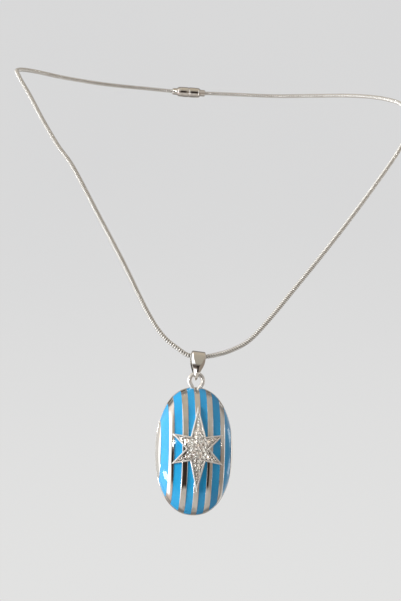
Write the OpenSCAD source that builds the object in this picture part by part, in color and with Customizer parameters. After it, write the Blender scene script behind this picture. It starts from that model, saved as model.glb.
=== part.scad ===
// Oval domed pendant with enamel stripes and a raised pave star, on a fine snake chain.
// Millimetres, X to the right, front towards -Y, Z up. The origin is the middle of the clasp,
// where the chain rests on the nape of the neck.

/* [Oval] */
// Width of the oval
oval_w = 20; // [18:0.5:24]
// Height of the oval
oval_h = 32.7; // [30:0.1:36]
// How far the enamel stands in front of the oval's widest edge
dome_d = 6.2; // [5:0.1:8]
// Thickness of the plain edge band behind the dome
edge_t = 0.8; // [0.5:0.1:2]
// How far the closed back bulges behind the edge band
back_d = 0.6; // [0.3:0.1:2]

/* [Enamel] */
// Depth of the enamel in its channels
enamel_t = 0.45; // [0.3:0.05:0.8]
// Height of the metal ribs above the enamel
rib_h = 0.3; // [0.1:0.05:0.6]
// How far the ribs' ends stop short of the oval's outline
rib_short = 0.15; // [0:0.05:0.4]
// Edge of the innermost channel that is nearer to the middle of the oval
inner_from = 0.68; // [0.5:0.01:0.9]
// Edge of the innermost channel that is nearer to the side
inner_to = 2.45; // [2.2:0.05:2.7]
// Edge of the second channel that is nearer to the middle
mid_from = 3.92; // [3.7:0.02:4.2]
// Edge of the second channel that is nearer to the side
mid_to = 5.88; // [5.6:0.02:6.2]
// Edge of the outermost channel that is nearer to the middle
outer_from = 7.15; // [7:0.05:7.5]
// Edge of the outermost channel that is nearer to the side
outer_to = 9; // [8.8:0.05:9.4]
// Gap between the enamel and the metal around it
enamel_gap = 0.03; // [0.02:0.01:0.06]

/* [Star] */
// Height of the star's rim above the enamel
star_h = 0.8; // [0.6:0.05:1.2]
// Width of the rim round the stones
rim_w = 0.42; // [0.3:0.02:0.5]
// Depth of the bed below the rim
bed_d = 0.75; // [0.6:0.05:0.9]
// How far the stones' girdles lie below the rim
girdle_d = 0.15; // [0.1:0.05:0.25]
// Reach of the two long points from the star's middle
long_point = 10.9; // [10:0.1:12]
// Sideways reach of the four slanting points
slant_x = 6.6; // [6.4:0.1:6.8]
// Upward reach of the four slanting points
slant_z = 3.85; // [3.7:0.05:4]
// Radius of a full-size stone at its girdle
stone_r = 0.49; // [0.4:0.01:0.49]

/* [Loop] */
// Radius of the loop's wire
wire_r = 0.575; // [0.5:0.025:0.6]
// Radius of the loop, to the middle of its wire
loop_r = 1.75; // [1.7:0.05:2]
// Height of the loop's top wire above the middle of the oval
loop_rise = 19.65; // [19.5:0.05:20]
// How far the loop lies in front of the oval's widest edge
loop_front = 1; // [0.8:0.1:1.4]

/* [Bail] */
// Height of the bail above the middle of the chain
bail_top = 1.36; // [1.3:0.02:1.5]
// Distance from the middle of the chain down to the middle of the loop's top wire
hang = 4.55; // [4.5:0.05:5]
// Thickness of the bail's leaves
leaf_t = 0.5; // [0.4:0.05:0.6]
// Inside radius of the bail's top bend
bend_r = 1.05; // [1:0.05:1.2]
// Inside radius of the bail's eye round the loop's wire
eye_r = 0.88; // [0.8:0.02:0.9]
// Depth of metal below the eye
tip_h = 0.79; // [0.6:0.01:0.9]

/* [Chain] */
// Diameter of the chain
chain_d = 1.3; // [1:0.1:1.3]
// Length of the clasp
clasp_l = 11; // [9:0.5:14]
// Diameter of the clasp
clasp_d = 3.4; // [3:0.1:4]

/* [Hidden] */

silver = [0.83, 0.82, 0.79];
sky_blue = [0.2, 0.66, 0.88];
clear = [0.93, 0.95, 0.97];
smooth = 144;
smooth_small = 48;

half_w = oval_w / 2;
half_h = oval_h / 2;

// Middle of the chain where it passes through the bail
bail_at = [-14, -118, -106];
// Middle of the oval at its widest edge
oval_at = bail_at + [0, loop_front, -hang - loop_rise];

// Where the chain's centre line runs, from the clasp's left end, down the left side of the
// neck, through the bail and up the right side, back to the clasp
route = [
    [-4.6, 0, 0], [-14, -1, 0], [-29, -6, -1], [-43, -15, -2.5], [-54, -28, -5], [-59.5, -41, -9],
    [-59.5, -52, -14.5], [-56.5, -61.5, -23], [-53, -71.5, -33], [-49, -80, -42.5],
    [-45, -87.5, -50.5], [-38.5, -99, -66.5], [-32.5, -107.5, -80.5], [-26.5, -114, -94.5],
    [-22.5, -116.5, -101], [-18.5, -117.7, -104.4], [-16.2, -118, -105.8], bail_at,
    [-11.8, -118, -106], [-9, -118, -105.4], [-5, -117.5, -104], [0, -116.5, -101],
    [6, -114, -94.5], [13, -110, -86], [22, -104.5, -75], [32, -96.5, -62.5], [42.5, -86, -49],
    [53, -73.5, -35], [59.5, -62, -24], [61, -50, -15], [58, -37, -9], [51, -25, -5],
    [41, -14, -2.5], [28, -5.5, -1], [14, -1, 0], [4.6, 0, 0]
];
rings_per_span = 2;
chain_sides = 8;

// Corners of the star between its points, beside the long points and at the sides
notch_x = 1.92;
notch_z = 3.1;
side_notch = 3.04;

// One side of the bail from its top to its tip: height above the chain's middle, half width
bail_edge = [
    [bail_top, 1.85], [0.4, 1.85], [-0.9, 1.8], [-2, 1.65], [-3, 1.35], [-3.8, 1.02],
    [-4.55, 0.76], [-5.2, 0.62], [-5.7, 0.52], [-6.05, 0.36], [-6.22, 0.12]
];

// The stones of the star's body, in rows that are mirrored up and down: height, first
// distance from the middle line, distance between neighbours, how many on the right side
stone_rows = [
    [0, 0.56, 1.12, 2],
    [1, 0, 1.12, 3],
    [2, 0.56, 1.12, 3],
    [3.1, 0.56, 1.12, 1],
    [4.2, 0.56, 1.12, 1]
];
// The smaller stones towards the tips: distance to the side, height, radius
tip_stones = [
    [0, 5.17, 0.48], [0, 6.27, 0.48], [0, 7.22, 0.34], [0, 7.87, 0.19],
    [3.85, 2.45, 0.42], [4.62, 2.77, 0.19]
];
// Shape of a stone, as shares of its radius
stone_facets = 8;
table_share = 0.58;
crown_share = 0.34;
pavilion_share = 0.86;

// Where the star's side points split the second channel, above and below the middle
split_z = 3.2;

// The foot that joins the loop to the oval
foot_r = 0.95;
foot_l = 2.2;

// How much thinner the bail's metal is at the outer side of its eye
eye_thin = 0.13;

// The clasp's ends, the slope and the groove of its barrel, and its sockets' clearance
neck_r = 1.15;
neck_l = 1.6;
slope_l = 0.6;
groove_half = 0.15;
groove_d = 0.2;
socket_gap = 0.1;

function unit(v) = v / norm(v);

// A point of a smooth curve through p1 and p2, at t from 0 to 1 between them
function spline(p0, p1, p2, p3, t) =
    0.5 * (2 * p1 + (p2 - p0) * t + (2 * p0 - 5 * p1 + 4 * p2 - p3) * t * t
    + (3 * p1 - p0 - 3 * p2 + p3) * t * t * t);

// The route's point number i, with one more point straight past each end
function route_at(i) =
    i < 0 ? 2 * route[0] - route[1]
    : i >= len(route) ? 2 * route[len(route) - 1] - route[len(route) - 2]
    : route[i];

chain_path = [
    for (i = [0:len(route) - 2], k = [0:rings_per_span - 1])
        spline(route_at(i - 1), route_at(i), route_at(i + 1), route_at(i + 2), k / rings_per_span),
    route[len(route) - 1]
];

// Direction of the chain at ring i
function heading(i) =
    unit(chain_path[min(i + 1, len(chain_path) - 1)] - chain_path[max(i - 1, 0)]);

// The star's outline, counterclockwise seen from the front
star = [
    [0, long_point], [-notch_x, notch_z], [-slant_x, slant_z], [-side_notch, 0],
    [-slant_x, -slant_z], [-notch_x, -notch_z], [0, -long_point], [notch_x, -notch_z],
    [slant_x, -slant_z], [side_notch, 0], [slant_x, slant_z], [notch_x, notch_z]
];

// Inward normal of the edge from a to b of a counterclockwise outline
function inward(a, b) = unit([a[1] - b[1], b[0] - a[0]]);

// The outline with each edge moved inwards by w, or outwards where w is negative
function inset(shape, w) = [
    for (i = [0:len(shape) - 1])
        let (
            last = shape[(i + len(shape) - 1) % len(shape)],
            next = shape[(i + 1) % len(shape)],
            n1 = inward(last, shape[i]),
            n2 = inward(shape[i], next)
        )
        shape[i] + w * (n1 + n2) / (1 + n1 * n2)
];

// The point above x, z on the dome grown by h, and the direction that faces out of it there
function dome_point(x, z, h) =
    [x, -(dome_d + h) * sqrt(1 - pow(x / (half_w + h), 2) - pow(z / (half_h + h), 2)), z];
function dome_normal(p, h) =
    unit([p[0] / pow(half_w + h, 2), p[1] / pow(dome_d + h, 2), p[2] / pow(half_h + h, 2)]);

// The dome's whole ellipsoid, grown by h
module dome(h) {
    scale([half_w + h, dome_d + h, half_h + h]) sphere(r = 1, $fn = smooth);
}

// The space in front of the oval's widest edge, from x0 to x1 and from z0 to z1
module front_slab(x0, x1, z0, z1, back = 0) {
    translate([x0, -2 * dome_d, z0]) cube([x1 - x0, 2 * dome_d - back, z1 - z0]);
}

// A flat shape in X and Z, drawn out along Y from inside the dome to well in front of it
module front_prism(shape) {
    inside = dome_d / 3;
    translate([0, -inside, 0]) rotate([90, 0, 0]) linear_extrude(height = 2 * dome_d) polygon(shape);
}

// The oval's flat outline as a disc from y0 to y1
module oval_disc(y0, y1) {
    translate([0, y1, 0]) scale([half_w, 1, half_h]) rotate([90, 0, 0])
        cylinder(r = 1, h = y1 - y0, $fn = smooth);
}

// The plate that closes the back, with its plain edge band: the cap of an ellipsoid makes it bulge
module back_plate() {
    cap_r = (1 + back_d * back_d) / (2 * back_d);
    color(silver) translate(oval_at) intersection() {
        oval_disc(enamel_gap, edge_t + back_d);
        translate([0, edge_t + back_d - cap_r, 0])
            scale([half_w * cap_r, cap_r, half_h * cap_r]) sphere(r = 1, $fn = smooth);
    }
}

// The metal ribs between the channels, as wide slabs of the raised dome
module ribs() {
    spans = [
        [-half_w, -outer_to], [-outer_from, -mid_to], [-mid_from, -inner_to],
        [-inner_from, inner_from],
        [inner_to, mid_from], [mid_to, outer_from], [outer_to, half_w]
    ];
    intersection() {
        scale([half_w - rib_short, dome_d + rib_h, half_h - rib_short]) sphere(r = 1, $fn = smooth);
        union() for (span = spans) front_slab(span[0], span[1], -half_h, half_h);
    }
}

module star_block() {
    intersection() {
        dome(star_h);
        front_prism(star);
    }
}

// The space in front of the bed's floor, inside the star's rim
module bed_space() {
    difference() {
        front_prism(inset(star, rim_w));
        dome(star_h - bed_d);
    }
}

// The loop, with a short foot that joins it to the top of the oval, grown by h
module loop(h = 0) {
    translate([0, -loop_front, loop_rise - loop_r]) {
        rotate([90, 0, 0]) rotate_extrude($fn = smooth)
            translate([loop_r, 0]) circle(r = wire_r + h, $fn = smooth_small);
        translate([0, 0, -loop_r - foot_l - h])
            cylinder(r = foot_r + h, h = foot_l + 2 * h, $fn = smooth_small);
    }
}

module casting() {
    color(silver) translate(oval_at) union() {
        difference() {
            dome(-enamel_t);
            translate([-oval_w, 0, -oval_h]) cube([2 * oval_w, oval_w, 2 * oval_h]);
        }
        difference() {
            union() {
                ribs();
                star_block();
            }
            bed_space();
        }
        loop();
    }
}

// The enamel of one channel between x0 and x1, from z0 to z1
module enamel(x0, x1, z0, z1) {
    color(sky_blue) translate(oval_at) difference() {
        intersection() {
            dome(0);
            front_slab(x0 + enamel_gap, x1 - enamel_gap, z0, z1, enamel_gap);
        }
        dome(enamel_gap - enamel_t);
        if (x0 < slant_x) front_prism(inset(star, -enamel_gap));
        if (x0 < foot_r && z1 == half_h) loop(enamel_gap);
    }
}

module enamel_outer() { enamel(outer_from, outer_to, -half_h, half_h); }
module enamel_mid_top() { enamel(mid_from, mid_to, split_z, half_h); }
module enamel_mid_side() { enamel(mid_from, mid_to, -split_z, split_z); }
module enamel_mid_bottom() { enamel(mid_from, mid_to, -half_h, -split_z); }
module enamel_inner_top() { enamel(inner_from, inner_to, 0, half_h); }
module enamel_inner_bottom() { enamel(inner_from, inner_to, -half_h, 0); }

// The same on the left side of the oval
module on_left() {
    translate([oval_at[0], 0, 0]) mirror([1, 0, 0]) translate([-oval_at[0], 0, 0]) children();
}

// A cut stone round the Z axis with its girdle at height 0: a flat table, a crown of facets
// and a pointed pavilion
module cut_stone(r) {
    turn = 360 / stone_facets;
    table = [for (i = [0:stone_facets - 1])
        [table_share * r * cos(turn * i), table_share * r * sin(turn * i), crown_share * r]];
    girdle = [for (i = [0:stone_facets - 1]) [r * cos(turn * i), r * sin(turn * i), 0]];
    polyhedron(
        points = concat(table, girdle, [[0, 0, -pavilion_share * r]]),
        faces = concat(
            [[for (i = [stone_facets - 1:-1:0]) i]],
            [for (i = [0:stone_facets - 1])
                let (j = (i + 1) % stone_facets) [i, j, j + stone_facets, i + stone_facets]],
            [for (i = [0:stone_facets - 1])
                let (j = (i + 1) % stone_facets) [i + stone_facets, j + stone_facets, 2 * stone_facets]]
        )
    );
}

module stone_at(x, z, r) {
    h = star_h - girdle_d;
    p = dome_point(x, z, h);
    n = dome_normal(p, h);
    translate(p) rotate([0, acos(n[2]), atan2(n[1], n[0])]) cut_stone(r);
}

module stones() {
    color(clear) translate(oval_at) {
        for (row = stone_rows, i = [0:row[3] - 1]) {
            x = row[1] + i * row[2];
            for (sx = x == 0 ? [1] : [-1, 1], sz = row[0] == 0 ? [1] : [-1, 1])
                stone_at(sx * x, sz * row[0], stone_r);
        }
        for (s = tip_stones, sx = s[0] == 0 ? [1] : [-1, 1], sz = [-1, 1])
            stone_at(sx * s[0], sz * s[1], s[2]);
    }
}

// A drop-shaped outline: two circles one above the other, joined by straight sides
module drop(r_top, z_top, r_low, z_low) {
    lean = (r_low - r_top) / (z_top - z_low);
    across = sqrt(1 - lean * lean);
    translate([0, z_top]) circle(r = r_top, $fn = smooth);
    translate([0, z_low]) circle(r = r_low, $fn = smooth);
    polygon([
        [-r_top * across, z_top + r_top * lean], [-r_low * across, z_low + r_low * lean],
        [r_low * across, z_low + r_low * lean], [r_top * across, z_top + r_top * lean]
    ]);
}

module bail() {
    outer_low_r = eye_r + leaf_t - eye_thin;
    bend_z = bail_top - leaf_t - bend_r;
    edge = concat(
        [for (p = bail_edge) [p[1], p[0]]],
        [for (i = [len(bail_edge) - 1:-1:0]) [-bail_edge[i][1], bail_edge[i][0]]]
    );
    color(silver) translate(bail_at) intersection() {
        rotate([90, 0, 90]) linear_extrude(height = 2 * bail_edge[0][1], center = true)
            difference() {
                drop(bend_r + leaf_t, bend_z, outer_low_r, outer_low_r - hang - eye_r - tip_h);
                drop(bend_r, bend_z, eye_r, -hang);
            }
        rotate([90, 0, 0]) linear_extrude(height = 4 * bend_r, center = true) polygon(edge);
    }
}

module chain() {
    turn = 360 / chain_sides;
    rings = [for (i = [0:len(chain_path) - 1])
        let (t = heading(i), u = unit(cross(t, [0, 0, 1])), v = cross(u, t))
        for (k = [0:chain_sides - 1])
            chain_path[i] + chain_d / 2 * (cos(turn * k) * u + sin(turn * k) * v)];
    last = (len(chain_path) - 1) * chain_sides;
    color(silver) polyhedron(
        points = rings,
        faces = concat(
            [[for (k = [chain_sides - 1:-1:0]) k]],
            [for (i = [0:len(chain_path) - 2], k = [0:chain_sides - 1])
                let (a = i * chain_sides + k, b = i * chain_sides + (k + 1) % chain_sides)
                [a, b, b + chain_sides, a + chain_sides]],
            [[for (k = [0:chain_sides - 1]) last + k]]
        )
    );
}

// A barrel clasp along X, with a socket at each end for the chain
module clasp() {
    r = clasp_d / 2;
    half = clasp_l / 2;
    socket_d = half - route[len(route) - 1][0] + socket_gap;
    color(silver) rotate([0, 90, 0]) difference() {
        rotate_extrude($fn = smooth) polygon([
            [0, -half], [neck_r, -half], [neck_r, -half + neck_l], [r, -half + neck_l + slope_l],
            [r, -groove_half], [r - groove_d, 0], [r, groove_half],
            [r, half - neck_l - slope_l], [neck_r, half - neck_l], [neck_r, half], [0, half]
        ]);
        for (s = [-1, 1]) translate([0, 0, s * half])
            cylinder(r = chain_d / 2 + socket_gap, h = 2 * socket_d, center = true, $fn = smooth_small);
    }
}

chain();
clasp();
bail();
casting();
back_plate();
stones();
enamel_outer();  // enamel_right_outer
enamel_mid_top();  // enamel_right_mid_top
enamel_mid_side();  // enamel_right_mid_side
enamel_mid_bottom();  // enamel_right_mid_bottom
enamel_inner_top();  // enamel_right_inner_top
enamel_inner_bottom();  // enamel_right_inner_bottom
on_left() enamel_outer();  // enamel_left_outer
on_left() enamel_mid_top();  // enamel_left_mid_top
on_left() enamel_mid_side();  // enamel_left_mid_side
on_left() enamel_mid_bottom();  // enamel_left_mid_bottom
on_left() enamel_inner_top();  // enamel_left_inner_top
on_left() enamel_inner_bottom();  // enamel_left_inner_bottom
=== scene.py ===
"""Oval enamel pendant with a pave star on a fine snake chain: the looks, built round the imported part.

Metres, X to the right, the pendant's front towards -Y, Z up. Sizes of the object are written in
millimetres times MM, and the rows of its tables in millimetres. Points of the pendant are worked out
round the middle of the oval, at its widest edge, and those of the bail round the chain inside it.
"""

import math

import bmesh
import bpy
import numpy as np
from mathutils import Matrix, Quaternion, Vector, geometry


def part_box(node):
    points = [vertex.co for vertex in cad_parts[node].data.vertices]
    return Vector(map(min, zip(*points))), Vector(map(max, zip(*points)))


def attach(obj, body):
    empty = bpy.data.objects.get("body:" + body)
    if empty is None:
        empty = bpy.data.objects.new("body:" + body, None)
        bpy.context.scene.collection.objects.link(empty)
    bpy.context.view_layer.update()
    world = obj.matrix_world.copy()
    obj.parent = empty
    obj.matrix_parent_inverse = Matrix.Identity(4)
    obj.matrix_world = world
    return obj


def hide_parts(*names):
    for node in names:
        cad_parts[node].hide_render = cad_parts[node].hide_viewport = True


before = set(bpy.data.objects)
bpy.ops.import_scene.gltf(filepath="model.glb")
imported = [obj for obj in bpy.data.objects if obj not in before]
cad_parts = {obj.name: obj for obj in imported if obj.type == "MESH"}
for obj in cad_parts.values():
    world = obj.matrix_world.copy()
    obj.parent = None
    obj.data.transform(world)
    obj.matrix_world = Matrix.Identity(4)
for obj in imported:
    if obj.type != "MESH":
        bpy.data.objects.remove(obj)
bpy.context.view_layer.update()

MM = 0.001
TAU = 2 * math.pi
QUARTER = math.pi / 2
# Points of a piece that are nearer to each other than this become one
WELD = 0.0002 * MM

# The camera, where the photographer stood: its place, direction and roll, its lens and sensor in
# millimetres, and the nearest and farthest distance that it sees
CAMERA_AT = Vector((-0.0795, -0.5317, -0.1617))
CAMERA_LOOKS = Vector((0.1558, 0.9738, 0.1655))
CAMERA_ROLL = math.radians(1.2)
CAMERA_LENS = 98.35
CAMERA_SENSOR = 36.0
CAMERA_CLIP = (0.01, 20)

# The studio: a pale floor that sweeps up into a round wall, which is faintly clouded. The clouds'
# scale is in features per metre, as it is in all materials
FLOOR_Z = -0.25
FLOOR_R = 1.6
FLOOR_RING = 0.3 * FLOOR_R
SWEEP_R = 0.9
SWEEP_STEPS = 12
SWEEP_SIDES = 96
WALL_TOP = 2.2
FLOOR_COLOUR = (0.76, 0.76, 0.755)
WALL_COLOURS = ((0.68, 0.68, 0.685), (0.7, 0.7, 0.7))
WALL_CLOUDS = 3

# The lamps: name, direction from the pendant, distance, width, height, power, colour, and whether
# the polished metal reflects it
LAMPS = (
    ("window_light", (-0.92, -0.37, 0.16), 1.3, 0.7, 0.7, 18.5, (1.0, 0.98, 0.95), False),
    ("side_lamp", (-0.96, -0.1, -0.26), 1.2, 0.28, 0.13, 1.7, (1.0, 0.98, 0.96), True),
    ("front_lamp", (-0.3, -0.94, 0.166), 1.2, 0.06, 0.06, 0.6, (1.0, 0.97, 0.93), True),
    ("right_lamp", (0.95, 0.3, 0.07), 1.2, 0.3, 0.5, 1, (1.0, 0.98, 0.96), True),
)

# The room as the metal reflects it. Each wall has its lowest colour, and bands above it: the heights
# between which a band takes over, and its colour. All places are parts of a direction of length 1
FRONT_LOW = (0.6, 0.56, 0.52)
FRONT_BANDS = (
    (-0.6, -0.46, (0.035, 0.026, 0.022)),
    (0.14, 0.34, (0.45, 0.42, 0.36)),
    (0.42, 0.75, (0.58, 0.51, 0.42)),
)
RIGHT_LOW = (0.52, 0.48, 0.44)
RIGHT_BANDS = (
    (-0.56, -0.42, (0.33, 0.28, 0.24)),
    (0.05, 0.2, (0.5, 0.46, 0.42)),
)
REAR_LOW = (0.22, 0.21, 0.2)
REAR_BANDS = (
    (-0.5, -0.2, (0.78, 0.76, 0.73)),
    (0.25, 0.5, (0.24, 0.23, 0.22)),
)
# Where the right and the rear wall take over from the front one, along X and along Y
RIGHT_FROM = (0.3, 0.55)
REAR_FROM = (0.0, 0.5)
# Bright patches on the left: where they fade in along X and along Z, and their colour
LEFT_PATCHES = (
    ((-0.56, -0.72), (0.08, 0.28), (1.15, 1.05, 0.98)),
    ((-0.5, -0.7), (-0.1, -0.28), (0.72, 0.6, 0.54)),
)
# The window on the far left and the ground right below: where they fade in, along X and along Z
WINDOW = ((-0.74, -0.86), (1.8, 1.85, 1.9))
BELOW = ((-0.94, -0.99), (0.4, 0.37, 0.34))
# What matt surfaces see of the room, and the room's strength, more where it's seen through a stone
ROOM_MATT = (0.42, 0.41, 0.4)
ROOM_STRENGTH = 0.92
STONE_STRENGTH = 3.4

# The gap that the enamel and the back plate keep from the casting
ENAMEL_GAP = 0.03 * MM

# The oval, from the plate that closes its back
plate_low, plate_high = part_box("back_plate")
HALF_W = (plate_high.x - plate_low.x) / 2
HALF_H = (plate_high.z - plate_low.z) / 2
OVAL = Vector((
    (plate_low.x + plate_high.x) / 2,
    plate_low.y - ENAMEL_GAP,
    (plate_low.z + plate_high.z) / 2,
))
PLATE_D = plate_high.y - plate_low.y
# The plate's edge band and its rounding, and rings of points on the plate's front and on its bulging
# back, as shares of the outline
EDGE_T = 0.8 * MM
EDGE_ROUND = 0.2 * MM
EDGE_STEPS = 3
PLATE_FRONT_RINGS = (0.5, 0.9)
PLATE_BACK_RINGS = (0.95, 0.88, 0.8, 0.7, 0.6, 0.5, 0.4, 0.3, 0.2, 0.1)
# How much of the back plate's rounded edge shows round the front, and the front's own size
EDGE_SHOW = 0.12 * MM
FRONT_W = HALF_W - EDGE_SHOW
FRONT_H = HALF_H - EDGE_SHOW
DOME_D = 6.2 * MM
# Exponent of the outline: 2 is an ellipse, and the real one is a little fuller
FULLNESS = 2.2

# The enamel: the depth of its channels and how much of it is filled, how far the surface sinks in
# the middle and climbs at the edges, and where points lie across it
ENAMEL_T = 0.45 * MM
ENAMEL_FILL = 0.93
ENAMEL_DIP = 0.07 * MM
ENAMEL_CLIMB = 0.04 * MM
ENAMEL_ACROSS = (-1, -0.9, -0.7, -0.4, 0, 0.4, 0.7, 0.9, 1)
# The ribs between the channels: height, rounding, bulge as a share of the height, and where points
# lie across the bulge
RIB_H = 0.3 * MM
RIB_ROUND = 0.2 * MM
RIB_CROWN = 0.25
RIB_ACROSS = (0.2, 0.35, 0.5, 0.65, 0.8)
RIB_STEPS = 4
# How far the ribs' upper and lower ends stop short of the outline
RIB_SHORT_TOP = 0.4 * MM
RIB_SHORT_LOW = 0.05 * MM
# Share of the full slice below which the ribs' height fades away towards the oval's sides
SIDE_SHARE = 0.35
SIDE_STEPS = 6
# Each channel's edges, the height at which the star parts the middle one, and the steps from the
# oval's bottom to its top
CHANNELS = {
    "inner": (0.68 * MM, 2.45 * MM),
    "mid": (3.92 * MM, 5.88 * MM),
    "outer": (7.15 * MM, 9 * MM),
}
SPLIT_Z = 3.2 * MM
ANGLE_STEPS = 144

# The star: heights of its rim, bed and foot from the enamel's level, and its rim's width and rounding
STAR_H = 0.8 * MM
BED_H = 0.16 * MM
STAR_FOOT = -0.5 * MM
RIM_W = 0.42 * MM
RIM_ROUND = 0.19 * MM
RIM_STEPS = 5
# How far the enamel runs in under the rim
UNDER_RIM = RIM_W / 3
# The corners of its outline, and the distance between points along its outline and in its bed
LONG_POINT = 10.9 * MM
SLANT_X = 6.6 * MM
SLANT_Z = 3.85 * MM
NOTCH_X = 1.92 * MM
NOTCH_Z = 3.1 * MM
SIDE_NOTCH = 3.04 * MM
STAR_STEP = 0.3 * MM
BED_STEP = 0.45 * MM

# The stones: radius, and how far their widest edge lies below the rim's top
STONE_R = 0.53 * MM
GIRDLE_D = 0.15 * MM
# Rows above and below the middle: height, first distance to the side, spacing, how many on a side
STONE_ROWS = (
    (0, 0.56, 1.12, 2),
    (1, 0, 1.12, 3),
    (2, 0.56, 1.12, 3),
    (3.1, 0.56, 1.12, 1),
    (4.2, 0.56, 1.12, 1),
)
# The smaller stones towards the tips: distance to the side, height, radius
TIP_STONES = (
    (0, 5.17, 0.5),
    (0, 6.27, 0.48),
    (0, 7.22, 0.36),
    (0, 7.87, 0.22),
    (3.85, 2.45, 0.44),
    (4.62, 2.77, 0.22),
)
# How far each stone leans from straight, and how far it is turned from the last one
STONE_LEAN = math.radians(4.5)
GOLDEN = math.radians(137.5)
# A stone's rings of points, downwards: how many, radius and height as shares of the stone's radius,
# and turn as a share of the ring's step
FACETS = 8
CUT_RINGS = (
    (FACETS, 0.56, 0.33, 0.0),
    (FACETS, 0.78, 0.205, 0.5),
    (2 * FACETS, 1.0, 0.02, 0.0),
    (2 * FACETS, 1.0, -0.03, 0.0),
    (FACETS, 0.42, -0.52, 0.5),
    (1, 0.0, -0.87, 0.0),
)

# The prongs: radius, how many are tried round each stone, how far from its middle and how near to
# any stone's middle they stand, in stone radii, and how far apart, in prong radii
PRONG_R = 0.13 * MM
PRONG_TRIES = 6
PRONG_REACH = 1.28
PRONG_CLEAR = 1.08
PRONG_APART = 2.2
PRONG_SIDES = 10
PRONG_STEPS = 6

# The loop on top of the oval: radius of its wire and of its bend, how high the wire's middle rises
# above the oval's, and how far in front of the oval's widest edge it stands
WIRE_R = 0.575 * MM
LOOP_R = 1.75 * MM
LOOP_RISE = 19.65 * MM
LOOP_FRONT = 1 * MM
# Where the round of the loop ends on each side, below its middle, and how far its ends run on
# from there, down into the oval, and how far they lean back
LOOP_OPEN = math.radians(30)
LEG_L = 1.8 * MM
LEG_LEAN = 0.3 * MM

# The bail: where the chain runs through it, its top above the chain, and its eye's middle below it
BAIL_AT = Vector((-14, -118, -106)) * MM
BAIL_TOP = 1.36 * MM
HANG = 4.55 * MM
# Its leaf's thickness, the inner radius of its bend round the chain and of its eye, the metal below
# the eye, and how much thinner than the leaf the metal beside the eye is
LEAF_T = 0.5 * MM
BEND_R = 1.05 * MM
EYE_R = 0.88 * MM
TIP_H = 0.79 * MM
EYE_THIN = 0.13 * MM
# How much wider than its outside the leaf's inside may be
INNER_FLARE = 0.35 * MM
# Height above the chain, half width, and the share of it that the flat middle facet takes
BAIL_EDGE = (
    (1.36, 1.85, 0.86),
    (0.4, 1.85, 0.8),
    (-0.9, 1.8, 0.72),
    (-2, 1.65, 0.54),
    (-3, 1.35, 0.18),
    (-3.8, 1.02, 0.2),
    (-4.55, 0.76, 0.45),
    (-5.2, 0.62, 0.55),
    (-5.7, 0.52, 0.6),
    (-6.05, 0.36, 0.6),
    (-6.22, 0.12, 0.6),
)
# How deep the bevels beside the facet are, and at most which share of the leaf's thickness
BAIL_BEVEL = 0.5 * MM
BEVEL_SHARE = 0.7
# How far the bowed leaves face up at their top and down at their bottom, and over which share of
# their length they keep to each of the two directions
BOW_TOP = math.radians(14)
BOW_LOW = math.radians(-28)
TOP_PULL = 0.62
LOW_PULL = 0.3
# How far the bail leans to the right, round the loop
BAIL_LEAN = math.radians(5)

# The chain's middle line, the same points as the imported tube's
ROUTE = (
    (-4.6, 0, 0), (-14, -1, 0), (-29, -6, -1), (-43, -15, -2.5), (-54, -28, -5), (-59.5, -41, -9),
    (-59.5, -52, -14.5), (-56.5, -61.5, -23), (-53, -71.5, -33), (-49, -80, -42.5),
    (-45, -87.5, -50.5), (-38.5, -99, -66.5), (-32.5, -107.5, -80.5), (-26.5, -114, -94.5),
    (-22.5, -116.5, -101), (-18.5, -117.7, -104.4), (-16.2, -118, -105.8), (-14, -118, -106),
    (-11.8, -118, -106), (-9, -118, -105.4), (-5, -117.5, -104), (0, -116.5, -101),
    (6, -114, -94.5), (13, -110, -86), (22, -104.5, -75), (32, -96.5, -62.5), (42.5, -86, -49),
    (53, -73.5, -35), (59.5, -62, -24), (61, -50, -15), (58, -37, -9), (51, -25, -5),
    (41, -14, -2.5), (28, -5.5, -1), (14, -1, 0), (4.6, 0, 0),
)
ROUTE_STEPS = 24
# Its links: distance from one to the next, points round each, how far its edges wave, and the
# radius of the dark core inside, painted shade that darkens the gaps between the links
LINK_PITCH = 0.65 * MM
LINK_SIDES = 14
LINK_WAVE = 0.08 * MM
CORE_R = 0.4 * MM
# One link's section: distance along the chain, distance from its middle
LINK_SECTION = (
    (-0.28, 0.42), (-0.24, 0.56), (-0.13, 0.64), (0.06, 0.65), (0.17, 0.59), (0.23, 0.42),
    (0.15, 0.3), (-0.2, 0.3),
)

# One half of the clasp: distance along its barrel from the middle, radius
CLASP_SIDES = 64
CLASP_HALF_PROFILE = (
    (0, 1.5), (0.12, 1.62), (0.3, 1.7), (2.2, 1.7), (2.3, 1.58), (2.45, 1.58), (2.55, 1.7),
    (2.85, 1.7), (2.95, 1.58), (3.1, 1.58), (3.2, 1.68), (3.45, 1.6), (3.9, 1.22), (4.1, 1.12),
    (5.3, 1.12), (5.45, 1.06), (5.5, 0.95), (5.46, 0.78), (4.7, 0.74), (4.6, 0),
)


def joined(parts):
    """Several pairs of points and faces as one pair."""
    points = []
    faces = []
    for part_points, part_faces in parts:
        start = len(points)
        points.extend(part_points)
        faces.extend([i + start for i in face] for face in part_faces)
    return points, faces


def grid_faces(rows, columns, wrap_rows=False, wrap_columns=False):
    """Quads over a grid of points that is stored row by row."""
    faces = []
    for i in range(rows if wrap_rows else rows - 1):
        here = i * columns
        below = (i + 1) % rows * columns
        for j in range(columns if wrap_columns else columns - 1):
            right = (j + 1) % columns
            faces.append([here + j, here + right, below + right, below + j])
    return faces


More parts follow.
